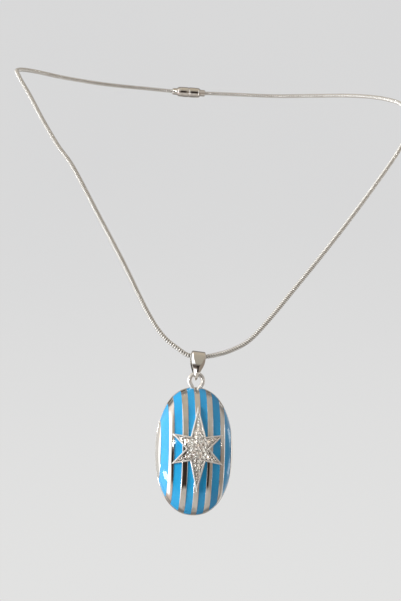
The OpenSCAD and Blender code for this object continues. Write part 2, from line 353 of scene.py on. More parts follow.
def thick_grid(top, bottom, keep):
    """A closed sheet between two grids of points, made only of the cells for which keep holds."""
    rows = len(top)
    columns = len(top[0])
    numbers = {}
    points = []
    faces = []

    def number(layer, i, j):
        key = (layer, i, j)
        if key not in numbers:
            numbers[key] = len(points)
            points.append((top, bottom)[layer][i][j])
        return numbers[key]

    def kept(i, j):
        return 0 <= i < rows - 1 and 0 <= j < columns - 1 and keep[i][j]

    for i in range(rows - 1):
        for j in range(columns - 1):
            if not keep[i][j]:
                continue
            corners = ((i, j), (i, j + 1), (i + 1, j + 1), (i + 1, j))
            neighbours = ((i - 1, j), (i, j + 1), (i + 1, j), (i, j - 1))
            faces.append([number(0, *c) for c in corners])
            faces.append([number(1, *c) for c in reversed(corners)])
            for k, neighbour in enumerate(neighbours):
                if not kept(*neighbour):
                    a = corners[k]
                    b = corners[(k + 1) % 4]
                    faces.append([number(0, *b), number(0, *a), number(1, *a), number(1, *b)])
    return points, faces


def piece(name, shape, material, body, replaces=(), place=OVAL, sharp=40):
    """A mesh of the object from points and faces, which rides on a body of the frame."""
    points, faces = shape
    mesh = bpy.data.meshes.new(name)
    mesh.from_pydata([tuple(Vector(p) + place) for p in points], [], faces)
    work = bmesh.new()
    work.from_mesh(mesh)
    bmesh.ops.remove_doubles(work, verts=work.verts, dist=WELD)
    bmesh.ops.recalc_face_normals(work, faces=work.faces)
    work.to_mesh(mesh)
    work.free()
    mesh.materials.append(material)
    mesh.shade_smooth()
    mesh.set_sharp_from_angle(angle=math.radians(sharp))
    obj = bpy.data.objects.new(name, mesh)
    bpy.context.scene.collection.objects.link(obj)
    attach(obj, body)
    if replaces:
        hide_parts(*replaces)


# Materials

# The numbers of a Mix node's inputs for the factor and both colours, and of its colour output
MIX_FACTOR = 0
MIX_FIRST = 6
MIX_SECOND = 7
MIX_RESULT = 2
# The part of a noise's range that is used
NOISE_LOW = 0.3
NOISE_HIGH = 0.7
# The metals' clouding, hairlines and dents, and the dents' depth
CLOUD_SCALE = 420
HAIR_SCALE = 5200
HAIR_STRETCH = (1, 1, 0.12)
DENT_SCALE = 1500
DENT_DEPTH = 0.004 * MM
# The enamel's two blues, its faint specks and the share of their colour, and its low waves
ENAMEL_BLUES = ((0.01, 0.33, 0.7), (0.015, 0.4, 0.78))
BLUE_SCALE = 260
ENAMEL_SPECK = (0.2, 0.62, 0.92)
SPECK_SCALE = 6000
SPECK_SHARE = 0.12
WAVE_SCALE = 800
WAVE_DEPTH = 0.006 * MM
# The stones' two tints and their haze
STONE_TINTS = ((1.0, 0.93, 0.9), (0.9, 0.98, 1.0))
TINT_SCALE = 1100
STONE_HAZE = 0.03
HAZE_SCALE = 3000
# The metals: name, bright and worn colour, least and most roughness, depth of the hairlines, and
# the metallic share, which is less where the metal should look like satin
METALS = (
    ("polished_silver", (0.9, 0.88, 0.85), (0.82, 0.79, 0.74), (0.05, 0.13), 0.0015 * MM, 1.0),
    ("setting_silver", (0.92, 0.91, 0.89), (0.8, 0.78, 0.74), (0.1, 0.24), 0.003 * MM, 0.75),
    ("rim_silver", (0.94, 0.92, 0.89), (0.86, 0.83, 0.79), (0.14, 0.24), 0.002 * MM, 0.6),
    ("chain_silver", (0.94, 0.93, 0.9), (0.86, 0.84, 0.8), (0.1, 0.2), 0.002 * MM, 0.75),
    # The last metal is painted shade: near-black silver for the chain's core, standing in for the shade
    # in the gaps between the links
    ("painted_shade_silver", (0.2, 0.19, 0.18), (0.12, 0.11, 0.1), (0.3, 0.45), 0.002 * MM, 1.0),
)


class Nodes:
    """A small helper that adds and links the nodes of one material or world."""

    def __init__(self, owner):
        owner.use_nodes = True
        self.tree = owner.node_tree
        self.tree.nodes.clear()

    def add(self, kind, settings=(), **inputs):
        """A new node, with its settings and its inputs by their names."""
        node = self.tree.nodes.new(kind)
        for key, value in dict(settings).items():
            setattr(node, key, value)
        for key, value in inputs.items():
            self.put(node, key.replace("_", " "), value)
        return node

    def put(self, node, socket, value):
        """Sets a socket by its name, or links it to another node's output."""
        found = next(s for s in node.inputs if s.name.lower() == socket.lower() and s.enabled)
        if isinstance(value, bpy.types.NodeSocket):
            self.tree.links.new(value, found)
        else:
            found.default_value = value

    def noise(self, scale, detail=3.0, stretch=(1, 1, 1)):
        """Noise in the object's own metres: scale is in features per metre."""
        where = self.add("ShaderNodeTexCoord")
        turned = self.add("ShaderNodeMapping", vector=where.outputs["Object"], scale=stretch)
        place = turned.outputs["Vector"]
        cloud = self.add("ShaderNodeTexNoise", vector=place, scale=scale, detail=detail)
        return cloud.outputs["Fac"]

    def spread(self, value, low, high):
        """The middle of a noise's range, mapped to low and high."""
        ramp = self.add("ShaderNodeMapRange", value=value)
        ramp.inputs["From Min"].default_value = NOISE_LOW
        ramp.inputs["From Max"].default_value = NOISE_HIGH
        ramp.inputs["To Min"].default_value = low
        ramp.inputs["To Max"].default_value = high
        return ramp.outputs["Result"]

    def fade(self, value, start, end):
        """A soft step from 0 to 1 as a value goes from start to end."""
        ramp = self.add("ShaderNodeMapRange", {"interpolation_type": "SMOOTHSTEP"}, value=value)
        ramp.inputs["From Min"].default_value = start
        ramp.inputs["From Max"].default_value = end
        return ramp.outputs["Result"]

    def between(self, factor, first, second):
        """A colour between two, by a factor from 0 to 1."""
        mix = self.add("ShaderNodeMix", {"data_type": "RGBA"})
        self.tree.links.new(factor, mix.inputs[MIX_FACTOR])
        for number, colour in ((MIX_FIRST, first), (MIX_SECOND, second)):
            if isinstance(colour, bpy.types.NodeSocket):
                self.tree.links.new(colour, mix.inputs[number])
            else:
                mix.inputs[number].default_value = (*colour, 1)
        return mix.outputs[MIX_RESULT]

    def times(self, first, second):
        """The product of two values."""
        node = self.add("ShaderNodeMath", {"operation": "MULTIPLY"})
        self.tree.links.new(first, node.inputs[0])
        self.tree.links.new(second, node.inputs[1])
        return node.outputs[0]

    def bump(self, height, distance, under=None):
        """Fine relief from a height, on top of the relief under it."""
        node = self.add("ShaderNodeBump", height=height, distance=distance, strength=1.0)
        if under is not None:
            self.tree.links.new(under, node.inputs["Normal"])
        return node.outputs["Normal"]

    def finish(self, shader, kind="ShaderNodeOutputMaterial"):
        """Links a shader to the output of the material, or of the world."""
        out = self.add(kind)
        self.tree.links.new(shader.outputs[0], out.inputs["Surface"])


def metal(name, bright, worn, rough, scratch, metallic):
    """Plate with faint clouding, fine hairlines and tiny dents."""
    material = bpy.data.materials.new(name)
    nodes = Nodes(material)
    clouds = nodes.noise(CLOUD_SCALE)
    hairlines = nodes.noise(HAIR_SCALE, detail=2, stretch=HAIR_STRETCH)
    dents = nodes.noise(DENT_SCALE, detail=1)
    shader = nodes.add("ShaderNodeBsdfPrincipled", metallic=metallic)
    nodes.put(shader, "Base Color", nodes.between(nodes.spread(clouds, 0, 1), bright, worn))
    nodes.put(shader, "Roughness", nodes.spread(clouds, *rough))
    soft = nodes.bump(dents, DENT_DEPTH)
    nodes.put(shader, "Normal", nodes.bump(hairlines, scratch, under=soft))
    nodes.finish(shader)
    return material


def enamel_material():
    """Opaque sky-blue enamel: slightly uneven colour under a smooth glassy coat."""
    material = bpy.data.materials.new("sky_enamel")
    nodes = Nodes(material)
    clouds = nodes.noise(BLUE_SCALE, detail=4)
    specks = nodes.noise(SPECK_SCALE, detail=1)
    colour = nodes.between(nodes.spread(clouds, 0, 1), *ENAMEL_BLUES)
    colour = nodes.between(nodes.spread(specks, 0, SPECK_SHARE), colour, ENAMEL_SPECK)
    shader = nodes.add("ShaderNodeBsdfPrincipled", roughness=0.22, ior=1.52, coat_weight=1.0)
    shader.inputs["Coat Roughness"].default_value = 0.04
    shader.inputs["Specular IOR Level"].default_value = 0.15
    nodes.put(shader, "Base Color", colour)
    nodes.put(shader, "Normal", nodes.bump(nodes.noise(WAVE_SCALE, detail=1), WAVE_DEPTH))
    nodes.finish(shader)
    return material


def stone_material():
    """Clear cut stone of high refraction, with a tint that changes faintly and a faint haze."""
    material = bpy.data.materials.new("clear_stone")
    nodes = Nodes(material)
    shader = nodes.add("ShaderNodeBsdfPrincipled", ior=2.1, transmission_weight=1.0)
    tint = nodes.spread(nodes.noise(TINT_SCALE, detail=0), 0, 1)
    nodes.put(shader, "Base Color", nodes.between(tint, *STONE_TINTS))
    nodes.put(shader, "Roughness", nodes.spread(nodes.noise(HAZE_SCALE), 0.0, STONE_HAZE))
    nodes.finish(shader)
    return material


silver, setting_silver, rim_silver, chain_silver, painted_shade_silver = [metal(*row) for row in METALS]
enamel = enamel_material()
stone = stone_material()


# The dome


def slice_share(x, half_w=FRONT_W):
    """The share of the dome's full slice that is left at the distance x from its middle line."""
    return max(0.0, 1 - abs(x / half_w) ** FULLNESS) ** (1 / FULLNESS)


def on_slice(x, angle, depth, rise):
    """A point of the slice at x. Angle 0 faces forward and a quarter turn is the oval's top."""
    return Vector((x, -depth * math.cos(angle), rise * math.sin(angle)))


def dome_at(x, angle, lift):
    """A point of the front: lift 0 is the enamel's level, 1 the ribs' top, -1 the channels' floor."""
    share = slice_share(x)
    depth = DOME_D * share
    rise = FRONT_H * share
    if lift < 0:
        return on_slice(x, angle, depth + lift * ENAMEL_T, rise + lift * ENAMEL_T)
    lift *= min(1.0, share / SIDE_SHARE)
    short = RIB_SHORT_TOP if angle > 0 else RIB_SHORT_LOW
    return on_slice(x, angle, depth + lift * RIB_H, rise - lift * short)


def front_at(x, z, height):
    """The front of the dome grown by height, behind the point x, z of the front view."""
    share = slice_share(x, FRONT_W + height)
    rise = z / ((FRONT_H + height) * share)
    return Vector((x, -(DOME_D + height) * share * math.sqrt(max(0.0, 1 - rise * rise)), z))


def facing_at(x, z, height):
    """The direction that faces out of the grown dome there."""
    step = 0.05 * MM
    across = front_at(x + step, z, height) - front_at(x - step, z, height)
    up = front_at(x, z + step, height) - front_at(x, z - step, height)
    return across.cross(up).normalized()


ANGLES = [math.pi * i / ANGLE_STEPS - QUARTER for i in range(ANGLE_STEPS + 1)]


def rib_top(x0, x1):
    """Across one rib, from its left corner to its right one: x and lift."""
    corner = [QUARTER * i / RIB_STEPS for i in range(RIB_STEPS + 1)]
    low = 1 - RIB_ROUND / RIB_H
    left = [(x0 + RIB_ROUND * (1 - math.cos(a)), low + (1 - low) * math.sin(a)) for a in corner]
    right = [(x1 - (x - x0), lift) for x, lift in reversed(left)]
    middle = []
    for share in RIB_ACROSS:
        bulge = 1 - (2 * share - 1) ** 2
        middle.append((x0 + RIB_ROUND + share * (x1 - x0 - 2 * RIB_ROUND), 1 + RIB_CROWN * bulge))
    return left + middle + right


def side_metal():
    """The metal beside the outermost channel, from the channel's edge to the oval's side."""
    edge = CHANNELS["outer"][1]
    corner = [(x, lift) for x, lift in rib_top(edge, FRONT_W) if x <= edge + RIB_ROUND]
    widest = slice_share(edge + RIB_ROUND)
    shares = [widest * (1 - i / SIDE_STEPS) for i in range(1, SIDE_STEPS + 1)]
    return corner + [(FRONT_W * (1 - s**FULLNESS) ** (1 / FULLNESS), 1) for s in shares]


def front_profile():
    """Across the metal front, from its left side to its right: x and lift."""
    inner, mid, outer = CHANNELS.values()
    right = [(x, lift) for x, lift in rib_top(-inner[0], inner[0]) if x >= 0]
    ribs = [rib_top(inner[1], mid[0]), rib_top(mid[1], outer[0]), side_metal()]
    for (x0, x1), rib in zip((inner, mid, outer), ribs):
        right += [(x0, -1), ((x0 + x1) / 2, -1), (x1, -1), *rib]
    left = [(-x, lift) for x, lift in reversed(right) if x > 0]
    return left + right


def ribbed_dome():
    """The casting's front with its ribs, closed by a flat back."""
    profile = front_profile()
    points = [dome_at(x, angle, lift) for x, lift in profile for angle in ANGLES]
    columns = len(ANGLES)
    faces = grid_faces(len(profile), columns)
    for i in range(len(profile) - 1):
        here = i * columns
        beside = here + columns
        faces.append([here, beside, beside + columns - 1, here + columns - 1])
    return points, faces


# The star


def mirrored_star():
    """The star's outline in the front view, counterclockwise from its upper point."""
    upper = [(-NOTCH_X, NOTCH_Z), (-SLANT_X, SLANT_Z)]
    lower = [(x, -z) for x, z in reversed(upper)]
    left = [*upper, (-SIDE_NOTCH, 0), *lower]
    right = [(-x, -z) for x, z in left]
    return [Vector(p) for p in [(0, LONG_POINT), *left, (0, -LONG_POINT), *right]]


STAR = mirrored_star()


def inset(shape, width):
    """A counterclockwise outline with each edge moved inwards."""
    moved = []
    for i, corner in enumerate(shape):
        before = (corner - shape[i - 1]).normalized()
        after = (shape[(i + 1) % len(shape)] - corner).normalized()
        first = Vector((-before.y, before.x))
        second = Vector((-after.y, after.x))
        moved.append(corner + width * (first + second) / (1 + first.dot(second)))
    return moved


def star_loop(width, height):
    """Points along the star's outline moved inwards by width, on the dome grown by height."""
    outline = inset(STAR, width)
    points = []
    for i, corner in enumerate(STAR):
        count = max(2, round((STAR[(i + 1) % len(STAR)] - corner).length / STAR_STEP))
        for k in range(count):
            p = outline[i].lerp(outline[(i + 1) % len(outline)], k / count)
            points.append(front_at(p.x, p.y, height))
    return points


def inside(point, shape):
    """Whether a point of the front view lies in an outline."""
    hit = False
    for i, a in enumerate(shape):
        b = shape[i - 1]
        if (a.y > point.y) != (b.y > point.y):
            if point.x < (b.x - a.x) * (point.y - a.y) / (b.y - a.y) + a.x:
                hit = not hit
    return hit


def star_fill(width, height):
    """A curved sheet that fills the star's outline moved inwards by width."""
    border = [Vector((p.x, p.z)) for p in star_loop(width, height)]
    count = len(border)
    core = inset(STAR, width + BED_STEP / 2)
    reach = int(LONG_POINT / BED_STEP)
    for i in range(-reach, reach + 1):
        for k in range(-reach, reach + 1):
            p = Vector((i * BED_STEP, k * BED_STEP))
            if inside(p, core):
                border.append(p)
    inside_only = 1
    outline = [list(range(count))]
    flat, _, faces, *_ = geometry.delaunay_2d_cdt(border, [], outline, inside_only, WELD)
    return [front_at(p.x, p.y, height) for p in flat], [list(f) for f in faces]


def star_setting():
    """The star's polished rim with rounded edges, round a bed that lies a little lower."""
    arc = [QUARTER * i / RIM_STEPS for i in range(RIM_STEPS + 1)]
    outer = [(RIM_ROUND * (1 - math.cos(a)), STAR_H - RIM_ROUND * (1 - math.sin(a))) for a in arc]
    inner = [(RIM_W - width, height) for width, height in reversed(outer)]
    levels = [(0, STAR_FOOT), *outer, *inner, (RIM_W, BED_H)]
    loops = [star_loop(*level) for level in levels]
    rim = [p for loop in loops for p in loop], grid_faces(len(loops), len(loops[0]), wrap_columns=True)
    return joined([rim, star_fill(RIM_W, BED_H), star_fill(0, STAR_FOOT)])


# The stones


def both_sides(distance):
    """The signs of a place and its mirror image, or one sign for a place on the middle line."""
    return (1,) if distance == 0 else (-1, 1)


def stone_places():
    """Each stone's place in the front view and its radius."""
    places = []
    for height, first, spacing, count in STONE_ROWS:
        for i in range(count):
            x = first + i * spacing
            for sx in both_sides(x):
                for sz in both_sides(height):
                    places.append((sx * x * MM, sz * height * MM, STONE_R))
    for x, z, radius in TIP_STONES:
        for sx in both_sides(x):
            for sz in both_sides(z):
                places.append((sx * x * MM, sz * z * MM, radius * MM))
    return places


def ring(count, radius, height, turn=0.0):
    """Points of a level circle. The turn is a share of the step from one point to the next."""
    angles = [TAU * (i + turn) / count for i in range(count)]
    return [Vector((radius * math.cos(a), radius * math.sin(a), height)) for a in angles]


def brilliant(radius):
    """A round brilliant cut: table, star, kite and girdle facets above, mains and halves below."""
    points = []
    starts = []
    for count, share, height, turn in CUT_RINGS:
        starts.append(len(points))
        points += [radius * p for p in ring(count, share, height, turn)]
    table, star, upper, lower, half, culet = starts
    faces = [[table + i for i in range(FACETS)]]
    for i in range(FACETS):
        after = (i + 1) % FACETS
        before = (i - 1) % FACETS
        here = 2 * i
        middle = here + 1
        there = 2 * after
        faces.append([table + i, star + i, table + after])
        faces.append([table + i, star + before, upper + here, star + i])
        faces.append([star + i, upper + here, upper + middle])
        faces.append([star + i, upper + middle, upper + there])
        faces.append([lower + here, half + i, lower + middle])
        faces.append([lower + middle, half + i, lower + there])
        faces.append([lower + here, half + before, culet, half + i])
    sides = 2 * FACETS
    for i in range(sides):
        after = (i + 1) % sides
        faces.append([upper + i, lower + i, lower + after, upper + after])
    return points, faces


def cut_stones():
    """All stones of the star, each turned a little further than the last and leaning its own way."""
    height = STAR_H - GIRDLE_D
    parts = []
    for i, (x, z, radius) in enumerate(stone_places()):
        angle = i * GOLDEN
        lean = Quaternion((math.cos(2 * angle), math.sin(2 * angle), 0), STONE_LEAN)
        spin = Quaternion((0, 0, 1), angle)
        turn = facing_at(x, z, height).to_track_quat("Z", "Y") @ lean @ spin
        at = front_at(x, z, height)
        points, faces = brilliant(radius)
        parts.append(([at + turn @ p for p in points], faces))
    return joined(parts)


def prong_places():
    """Points in the gaps between the stones, in the front view."""
    stones = stone_places()
    core = inset(STAR, RIM_W + PRONG_R / 2)
    found = []
    for x, z, radius in stones:
        reach = PRONG_REACH * radius
        for k in range(PRONG_TRIES):
            angle = TAU * (k + 0.5) / PRONG_TRIES
            p = Vector((x + reach * math.cos(angle), z + reach * math.sin(angle)))
            clear = all((p - Vector(s[:2])).length > PRONG_CLEAR * s[2] for s in stones)
            apart = all((p - q).length > PRONG_APART * PRONG_R for q in found)
            if clear and apart and inside(p, core):
                found.append(p)
    return found


def setting_prongs():
    """The small posts with round heads that hold the stones, between the bed and the stones' edges."""
    foot = BED_H - PRONG_R
    head = STAR_H - GIRDLE_D
    profile = [(foot, PRONG_R)]
    for i in range(PRONG_STEPS):
        a = QUARTER * i / PRONG_STEPS
        profile.append((head + PRONG_R * math.sin(a), PRONG_R * math.cos(a)))
    profile.append((head + PRONG_R, 0))
    parts = []
    for p in prong_places():
        points, faces = turned(profile, PRONG_SIDES, facing_at(p.x, p.y, head))
        parts.append(([front_at(p.x, p.y, 0) + q for q in points], faces))
    return joined(parts)


# The enamel


def enamel_strip(channel, side, low, high):
    """The enamel of one channel between two heights, with its surface drawn in like a meniscus."""
    x0, x1 = CHANNELS[channel]
    half = (x1 - x0) / 2 - ENAMEL_GAP
    columns = [side * ((x0 + x1) / 2 + half * u) for u in ENAMEL_ACROSS]
    cut = inset(STAR, UNDER_RIM)
    top = []
    bottom = []
    for angle in ANGLES:
        top_row = []
        bottom_row = []
        for u, x in zip(ENAMEL_ACROSS, columns):
            dip = ENAMEL_CLIMB * u**6 - ENAMEL_DIP * (1 - u * u)
            share = slice_share(x)
            top_row.append(on_slice(x, angle, DOME_D * share + dip, FRONT_H * share))
            bottom_row.append(dome_at(x, angle, -ENAMEL_FILL))
        top.append(top_row)
        bottom.append(bottom_row)
    keep = []
    for i in range(len(ANGLES) - 1):
        row = []
        for j in range(len(columns) - 1):
            middle = (top[i][j] + top[i + 1][j + 1]) / 2
            row.append(low <= middle.z <= high and not inside(Vector((middle.x, middle.z)), cut))
        keep.append(row)
    return thick_grid(top, bottom, keep)


# Loop, back and bail


def tube(path, radius, sides=24):
    """A round wire along points that turn only within the front view, closed at its ends."""
    points = []
    for i, place in enumerate(path):
        along = (path[min(i + 1, len(path) - 1)] - path[max(i - 1, 0)]).normalized()
        depth = Vector((0, 1, 0))
        depth = (depth - depth.dot(along) * along).normalized()
        across = along.cross(depth)
        for p in ring(sides, radius, 0):
            points.append(place + across * p.x + depth * p.y)
    faces = grid_faces(len(path), sides, wrap_columns=True)
    faces += [list(range(sides)), list(range(len(points) - sides, len(points)))]
    return points, faces


def turned(profile, sides, axis):
    """A turned solid from pairs of distance along the axis and radius, closed at its ends."""
    turn = Vector((0, 0, 1)).rotation_difference(axis)
    points = []
    for along, radius in profile:
        points += [turn @ p for p in ring(sides, radius, along)]
    faces = grid_faces(len(profile), sides, wrap_columns=True)
    if profile[0][1] > 0:
        faces.append(list(range(sides)))
    if profile[-1][1] > 0:
        faces.append(list(range((len(profile) - 1) * sides, len(profile) * sides)))
    return points, faces


def hanging_loop(bend_steps=56, leg_steps=8):
    """The loop: round above and open below, where its two ends run down into the top of the oval."""
    centre = Vector((0, -LOOP_FRONT, LOOP_RISE - LOOP_R))
    bend = [-LOOP_OPEN + (math.pi + 2 * LOOP_OPEN) * i / bend_steps for i in range(bend_steps + 1)]
    arch = [Vector((LOOP_R * math.cos(a), 0, LOOP_R * math.sin(a))) for a in bend]
    shares = [i / leg_steps for i in range(1, leg_steps + 1)]
    heading = Vector((math.sin(LOOP_OPEN), 0, -math.cos(LOOP_OPEN)))
    left = [arch[-1] + LEG_L * s * heading + Vector((0, LEG_LEAN * s**2, 0)) for s in shares]
    right = [Vector((-p.x, p.y, p.z)) for p in reversed(left)]
    return tube([centre + p for p in right + arch + left], WIRE_R)


def outline_at(angle):
    """A point of the oval's outline, in the front view."""
    c = math.cos(angle)
    s = math.sin(angle)
    power = 2 / FULLNESS
    return HALF_W * math.copysign(abs(c) ** power, c), HALF_H * math.copysign(abs(s) ** power, s)


def back_cover(steps=160):
    """The plain back with its edge band: a rounded edge and a low bulge."""
    bulge = PLATE_D + ENAMEL_GAP - EDGE_T
    flat = 1 - EDGE_ROUND / HALF_W
    profile = [(share, ENAMEL_GAP) for share in PLATE_FRONT_RINGS]
    arc = [QUARTER * i / EDGE_STEPS for i in range(EDGE_STEPS + 1)]
    for a in arc:
        share = flat + math.sin(a) * EDGE_ROUND / HALF_W
        profile.append((share, ENAMEL_GAP + EDGE_ROUND * (1 - math.cos(a)) / 2))
    for a in arc:
        share = flat + math.cos(a) * EDGE_ROUND / HALF_W
        profile.append((share, EDGE_T - EDGE_ROUND * (1 - math.sin(a))))
    for share in PLATE_BACK_RINGS:
        profile.append((share, EDGE_T + bulge * (1 - share * share)))
    points = [Vector((0, ENAMEL_GAP, 0))]
    for share, y in profile:
        for i in range(steps):
            x, z = outline_at(TAU * i / steps)
            points.append(Vector((share * x, y, share * z)))
    points.append(Vector((0, EDGE_T + bulge, 0)))
    faces = [[i + 1 for i in f] for f in grid_faces(len(profile), steps, wrap_columns=True)]
    last = len(points) - 1
    faces += [[0, 1 + (k + 1) % steps, 1 + k] for k in range(steps)]
    faces += [[last, last - steps + k, last - steps + (k + 1) % steps] for k in range(steps)]
    return points, faces


def arc_points(radius, height, start, end, steps):
    """Points of an arc of the side view, as distances along Y and Z."""
    angles = [start + (end - start) * i / steps for i in range(steps + 1)]
    return [Vector((radius * math.cos(a), height + radius * math.sin(a))) for a in angles]


def bowed_side(first, first_angle, first_pull, last, last_angle, last_pull, steps):
    """Points between two arcs that leave the first and meet the last one smoothly.
    A pull is the share of the distance over which that arc's direction is held."""
    length = (last - first).length
    out = first + first_pull * length * Vector((-math.sin(first_angle), math.cos(first_angle)))
    back = last - last_pull * length * Vector((-math.sin(last_angle), math.cos(last_angle)))
    points = []
    for i in range(1, steps):
        t = i / steps
        s = 1 - t
        points.append(s**3 * first + 3 * s * s * t * out + 3 * s * t * t * back + t**3 * last)
    return points


def drop(top_r, top_z, low_r, low_z, top_face, low_face, bend_steps=36, side_steps=20):
    """The side view of the bail: a large bend above, a small one below, and a side in front and behind.
    The sides face up by top_face where they leave the upper bend, and by low_face at the lower one."""
    top_front = math.pi - top_face
    low_front = math.pi - low_face
    top = arc_points(top_r, top_z, top_face, top_front, bend_steps)
    low = arc_points(low_r, low_z, low_front, TAU + low_face, bend_steps)
    front = bowed_side(top[-1], top_front, TOP_PULL, low[0], low_front, LOW_PULL, side_steps)
    rear = bowed_side(low[-1], low_face, LOW_PULL, top[0], top_face, TOP_PULL, side_steps)
    return top + front + low + rear


def bail_width(z):
    """The bail's half width at a height, and the half width of its flat middle facet."""
    heights = [row[0] * MM for row in reversed(BAIL_EDGE)]
    width = np.interp(z, heights, [row[1] * MM for row in reversed(BAIL_EDGE)])
    flat = np.interp(z, heights, [row[2] for row in reversed(BAIL_EDGE)])
    return float(width), float(width * flat)


def folded_bail():
    """A tapered leaf folded round the chain and the loop, with bevels beside a shield-shaped facet."""
    bend_z = BAIL_TOP - LEAF_T - BEND_R
    low_r = EYE_R + LEAF_T - EYE_THIN
    lean = math.asin((EYE_R - BEND_R) / (bend_z + HANG))
    inner = drop(BEND_R, bend_z, EYE_R, -HANG, lean, lean)
    outer = drop(BEND_R + LEAF_T, bend_z, low_r, low_r - HANG - EYE_R - TIP_H, BOW_TOP, BOW_LOW)
    side = Vector((1, 0, 0))
    points = []
    for (yi, zi), (yo, zo) in zip(inner, outer):
        wide, flat = bail_width(zo)
        inner_wide = min(bail_width(zi)[0], wide + INNER_FLARE)
        inward = Vector((0, yi - yo, zi - zo))
        bevel = inward.normalized() * min(BAIL_BEVEL, BEVEL_SHARE * inward.length)
        on_outer = Vector((0, yo, zo))
        on_inner = Vector((0, yi, zi))
        edge = on_outer + bevel
        section = [
            on_outer - side * flat, on_outer + side * flat, edge + side * wide,
            on_inner + side * inner_wide, on_inner - side * inner_wide, edge - side * wide,
        ]
        points += section
    turn = Quaternion((0, 1, 0), BAIL_LEAN)
    eye = Vector((0, 0, -HANG))
    points = [eye + turn @ (p - eye) for p in points]
    return points, grid_faces(len(inner), len(section), wrap_rows=True, wrap_columns=True)


# Chain and clasp


def spline(p0, p1, p2, p3, t):
    """A point of a smooth curve between p1 and p2."""
    bend = 2 * p0 - 5 * p1 + 4 * p2 - p3
    twist = 3 * p1 - p0 - 3 * p2 + p3
    return 0.5 * (2 * p1 + (p2 - p0) * t + bend * t**2 + twist * t**3)


def chain_line():
    """Close points along the chain's middle line."""
    route = np.array(ROUTE, float) * MM
    ends = [2 * route[0] - route[1], *route, 2 * route[-1] - route[-2]]
    points = []
    for i in range(1, len(ends) - 2):
        for k in range(ROUTE_STEPS):
            points.append(spline(*ends[i - 1 : i + 3], k / ROUTE_STEPS))
    points.append(ends[-2])
    return np.array(points)


def evenly(points, count):
    """Count places along a line at even distances, and the line's direction at each."""
    steps = np.linalg.norm(np.diff(points, axis=0), axis=1)
    run = np.concatenate([[0], np.cumsum(steps)])
    wanted = (np.arange(count) + 0.5) * run[-1] / count
    places = np.stack([np.interp(wanted, run, points[:, k]) for k in range(3)], axis=1)
    directions = np.gradient(places, axis=0)
    return places, directions / np.linalg.norm(directions, axis=1)[:, None]


def snake_chain():
    """Close-set wavy links along the route, each a closed band, and a dark core of painted shade inside
    them.
    """
    line = chain_line()
    length = np.linalg.norm(np.diff(line, axis=0), axis=1).sum()
    count = round(length / LINK_PITCH)
    places, along = evenly(line, count)
    side = np.cross(along[0], (0, 0, 1))
    section = np.array(LINK_SECTION) * MM
    turns = TAU * np.arange(LINK_SIDES) / LINK_SIDES
    faces = np.array(grid_faces(len(section), LINK_SIDES, wrap_rows=True, wrap_columns=True))
    all_points = []
    all_faces = []
    core = []
    for i in range(count):
        side = side - side.dot(along[i]) * along[i]
        side /= np.linalg.norm(side)
        up = np.cross(along[i], side)
        spokes = np.cos(turns)[:, None] * side + np.sin(turns)[:, None] * up
        wave = LINK_WAVE * np.cos(2 * turns)
        for distance, radius in section:
            all_points.append(places[i] + (distance + wave)[:, None] * along[i] + radius * spokes)
        all_faces.append(faces + i * len(section) * LINK_SIDES)
        core.append(places[i] + CORE_R * spokes)
    core_faces = grid_faces(count, LINK_SIDES, wrap_columns=True)
    last = (count - 1) * LINK_SIDES
    core_faces += [list(range(LINK_SIDES)), list(range(last, last + LINK_SIDES))]
    links = np.concatenate(all_points).tolist(), np.concatenate(all_faces).tolist()
    return links, (np.concatenate(core).tolist(), core_faces)


def barrel_clasp():
    """A turned barrel in two halves, with grooved collars and a socket for the chain at each end."""
    half = [(along * MM, radius * MM) for along, radius in CLASP_HALF_PROFILE]
    other = [(-along, radius) for along, radius in reversed(half[1:])]
    return turned(other + half, CLASP_SIDES, Vector((1, 0, 0)))


ORIGIN = Vector((0, 0, 0))
chain_links, chain_painted_shade_core = snake_chain()
piece("snake_chain", chain_links, chain_silver, "root", ["chain"], ORIGIN, sharp=60)
# The dark core is painted shade: it darkens the gaps between the chain's links
piece("chain_painted_shade_core", chain_painted_shade_core, painted_shade_silver, "root", place=ORIGIN)
piece("barrel_clasp", barrel_clasp(), silver, "root", ["clasp"], ORIGIN, sharp=50)
piece("folded_bail", folded_bail(), silver, "bail", ["bail"], BAIL_AT, sharp=18)
piece("ribbed_dome", ribbed_dome(), silver, "pendant", ["casting"])
piece("star_setting", star_setting(), rim_silver, "pendant")
piece("setting_prongs", setting_prongs(), setting_silver, "pendant")
piece("hanging_loop", hanging_loop(), rim_silver, "pendant")
piece("back_cover", back_cover(), silver, "pendant", ["back_plate"])
piece("cut_stones", cut_stones(), stone, "pendant", ["stones"], sharp=1)

# The pieces of enamel on one side: channel, ending of the name, lowest and highest point
STRIPS = (
    ("outer", "", -HALF_H, HALF_H),
    ("mid", "_top", SPLIT_Z, HALF_H),
    ("mid", "_side", -SPLIT_Z, SPLIT_Z),
    ("mid", "_bottom", -HALF_H, -SPLIT_Z),
    ("inner", "_top", 0, HALF_H),
    ("inner", "_bottom", -HALF_H, 0),
)
for side_name, side in (("left", -1), ("right", 1)):
    for channel, part, low, high in STRIPS:
        node = f"enamel_{side_name}_{channel}{part}"
        shape = enamel_strip(channel, side, low, high)
        piece(f"glossy_{node}", shape, enamel, "pendant", [node])


# The studio


